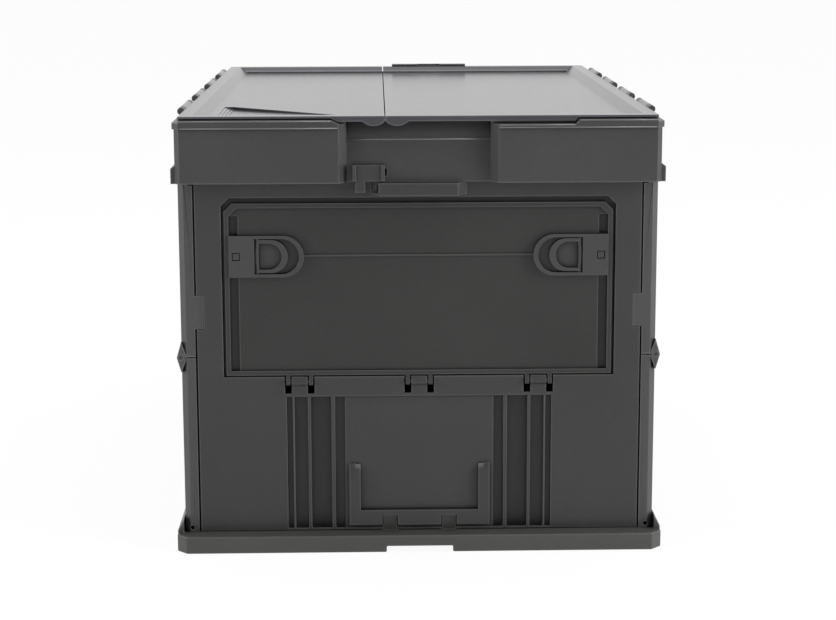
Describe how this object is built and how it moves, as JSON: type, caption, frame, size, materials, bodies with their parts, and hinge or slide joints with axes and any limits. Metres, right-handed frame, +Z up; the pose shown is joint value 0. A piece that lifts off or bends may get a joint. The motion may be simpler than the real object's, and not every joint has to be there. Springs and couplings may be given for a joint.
{
  "type": "folding storage box",
  "caption": "Folding plastic storage crate with a hinged lid in unequal leaves, drop-down end doors with tie rings, inward-folding end panels and slide locks.",
  "frame": {"origin": "middle of the underside, on the surface that the box stands on", "axes": "+Z up, +Y along the length from the front short end to the back one, +X to the right seen from the front"},
  "size_m": [0.366, 0.53, 0.3315],
  "materials": {
    "shell": "fine moulded texture, dark warm grey",
    "lid": "satin moulded top, dark warm grey",
    "fitting": "smooth moulded, dark warm grey",
    "dark_pin": "smooth moulded rod, dark grey",
    "steel": "bright drawn wire"
  },
  "bodies": {
    "box_shell": {"base_tray": "shell", "base_floor": "shell", "top_frame": "shell", "left_side_lower": "shell", "left_side_upper": "shell", "left_mid_hinge_pin": "dark_pin", "left_base_hinge_pins": "steel", "left_frame_hinge_pins": "steel", "left_lid_hinge_pins": "dark_pin", "right_side_lower": "shell", "right_side_upper": "shell", "right_mid_hinge_pin": "dark_pin", "right_base_hinge_pins": "steel", "right_frame_hinge_pins": "steel", "right_lid_hinge_pins": "dark_pin", "front_end_hinge_pins": "steel", "back_end_hinge_pins": "steel"},
    "left_lid": {"left_lid": "lid"},
    "right_lid": {"right_lid": "lid"},
    "front_end_panel": {"front_end_panel": "shell", "front_grip": "shell", "front_door_hinge_pins": "dark_pin"},
    "front_door": {"front_door": "shell", "front_left_ring_plate": "fitting", "front_right_ring_plate": "fitting"},
    "front_left_ring": {"front_left_ring": "fitting"},
    "front_right_ring": {"front_right_ring": "fitting"},
    "front_lock": {"front_lock_slider": "fitting"},
    "back_end_panel": {"back_end_panel": "shell", "back_grip": "shell", "back_door_hinge_pins": "dark_pin"},
    "back_door": {"back_door": "shell", "back_left_ring_plate": "fitting", "back_right_ring_plate": "fitting"},
    "back_left_ring": {"back_left_ring": "fitting"},
    "back_right_ring": {"back_right_ring": "fitting"},
    "back_lock": {"back_lock_slider": "fitting"}
  },
  "joints": [
    {"name": "left_lid_hinge", "type": "hinge", "parent": "box_shell", "child": "left_lid", "pos_m": [-0.1785, 0, 0.3279], "axis": [0, -1, 0], "range_deg": [0, 200]},
    {"name": "right_lid_hinge", "type": "hinge", "parent": "box_shell", "child": "right_lid", "pos_m": [0.1785, 0, 0.3279], "axis": [0, 1, 0], "range_deg": [0, 200]},
    {"name": "front_panel_fold", "type": "hinge", "parent": "box_shell", "child": "front_end_panel", "pos_m": [0, -0.247, 0.289], "axis": [1, 0, 0], "range_deg": [0, 88]},
    {"name": "front_door_drop", "type": "hinge", "parent": "front_end_panel", "child": "front_door", "pos_m": [0, -0.25, 0.129], "axis": [-1, 0, 0], "range_deg": [-150, 0]},
    {"name": "front_left_ring_flip", "type": "hinge", "parent": "front_door", "child": "front_left_ring", "pos_m": [-0.1195, -0.2514, 0.2247], "axis": [0, 0, 1], "range_deg": [-90, 0]},
    {"name": "front_right_ring_flip", "type": "hinge", "parent": "front_door", "child": "front_right_ring", "pos_m": [0.1195, -0.2514, 0.2247], "axis": [0, 0, -1], "range_deg": [-90, 0]},
    {"name": "front_lock_slide", "type": "slide", "parent": "box_shell", "child": "front_lock", "axis": [-1, 0, 0], "range_m": [-0.009, 0]},
    {"name": "back_panel_fold", "type": "hinge", "parent": "box_shell", "child": "back_end_panel", "pos_m": [0, 0.247, 0.289], "axis": [-1, 0, 0], "range_deg": [0, 82]},
    {"name": "back_door_drop", "type": "hinge", "parent": "back_end_panel", "child": "back_door", "pos_m": [0, 0.25, 0.129], "axis": [1, 0, 0], "range_deg": [-150, 0]},
    {"name": "back_left_ring_flip", "type": "hinge", "parent": "back_door", "child": "back_left_ring", "pos_m": [-0.1195, 0.2514, 0.2247], "axis": [0, 0, -1], "range_deg": [-90, 0]},
    {"name": "back_right_ring_flip", "type": "hinge", "parent": "back_door", "child": "back_right_ring", "pos_m": [0.1195, 0.2514, 0.2247], "axis": [0, 0, 1], "range_deg": [-90, 0]},
    {"name": "back_lock_slide", "type": "slide", "parent": "box_shell", "child": "back_lock", "axis": [1, 0, 0], "range_m": [-0.009, 0]}
  ]
}
